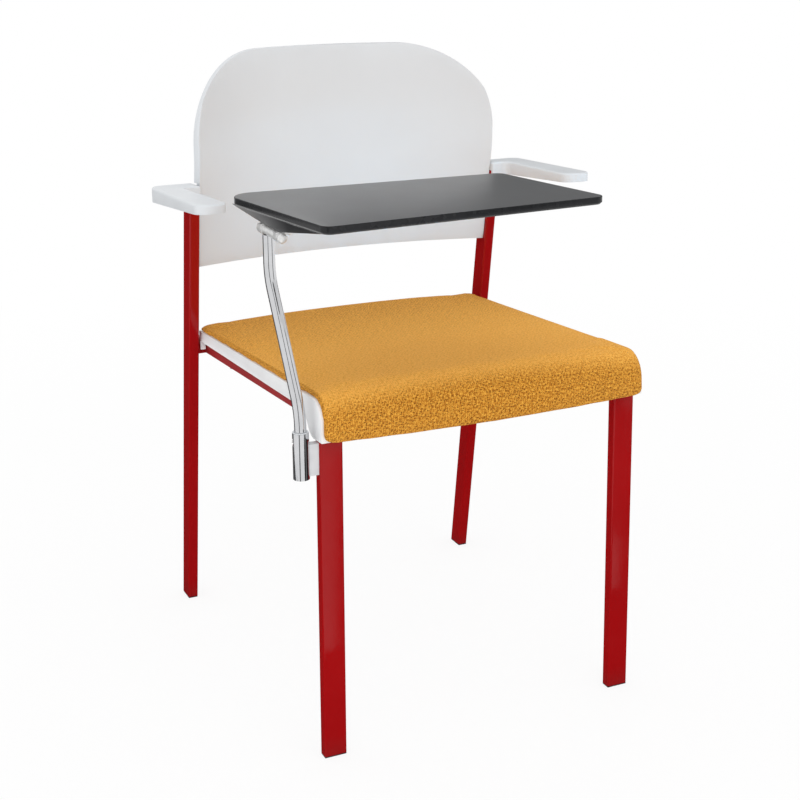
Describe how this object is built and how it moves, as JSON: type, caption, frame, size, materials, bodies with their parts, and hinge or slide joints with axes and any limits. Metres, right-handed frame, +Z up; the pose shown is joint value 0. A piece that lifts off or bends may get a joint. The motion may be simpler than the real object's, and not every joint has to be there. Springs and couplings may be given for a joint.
{
  "type": "tablet arm chair",
  "caption": "Four-legged chair of flat tube with a rounded back, cloth seat pad, arm pads and a writing tablet that swivels on a bent post and flips up.",
  "frame": {"origin": "on the floor, under the middle of the chair's overall length and width", "axes": "+Z up; the sitter faces -Y; the tablet post is on the -X side, the sitter's right"},
  "size_m": [0.578, 0.608, 0.84],
  "materials": {
    "red_paint": "gloss dark red stove paint on steel tube",
    "white_moulding": "smooth off-white moulding with a soft sheen",
    "seat_fabric": "mustard flecked upholstery cloth",
    "chrome": "bright chrome plate",
    "bright_metal": "zinc plated or plain steel",
    "pale_plate": "pale grey paint",
    "dark_plastic": "black moulding",
    "grey_laminate": "dark grey laminate with a soft sheen and a near-black edge"
  },
  "bodies": {
    "chair": {"right_front_leg": "red_paint", "left_front_leg": "red_paint", "right_rear_leg": "red_paint", "left_rear_leg": "red_paint", "right_side_rail": "red_paint", "left_side_rail": "red_paint", "front_cross_rail": "red_paint", "rear_cross_rail": "red_paint", "foot_glides": "dark_plastic", "front_leg_caps": "dark_plastic", "seat_shell": "white_moulding", "seat_pad": "seat_fabric", "seat_screws": "bright_metal", "back_panel": "white_moulding", "back_tabs": "red_paint", "back_screws": "bright_metal", "right_arm": "white_moulding", "left_arm": "white_moulding", "tablet_socket": "chrome", "socket_liner": "dark_plastic", "socket_plug": "dark_plastic", "socket_plate": "pale_plate"},
    "tablet_arm": {"tablet_post": "chrome", "guide_pin": "bright_metal", "hinge_bar": "chrome"},
    "tablet": {"tablet_board": "grey_laminate", "tablet_bracket": "dark_plastic", "hinge_bearings": "bright_metal", "bearing_screws": "bright_metal", "tablet_screws": "bright_metal"}
  },
  "joints": [
    {"name": "arm_swivel", "type": "hinge", "parent": "chair", "child": "tablet_arm", "pos_m": [-0.2419, -0.2417, 0.4], "axis": [0, 0, 1], "range_deg": [-70, 20]},
    {"name": "tablet_flip", "type": "hinge", "parent": "tablet_arm", "child": "tablet", "pos_m": [-0.2419, -0.162, 0.6628], "axis": [0, -1, 0], "range_deg": [0, 95]}
  ]
}
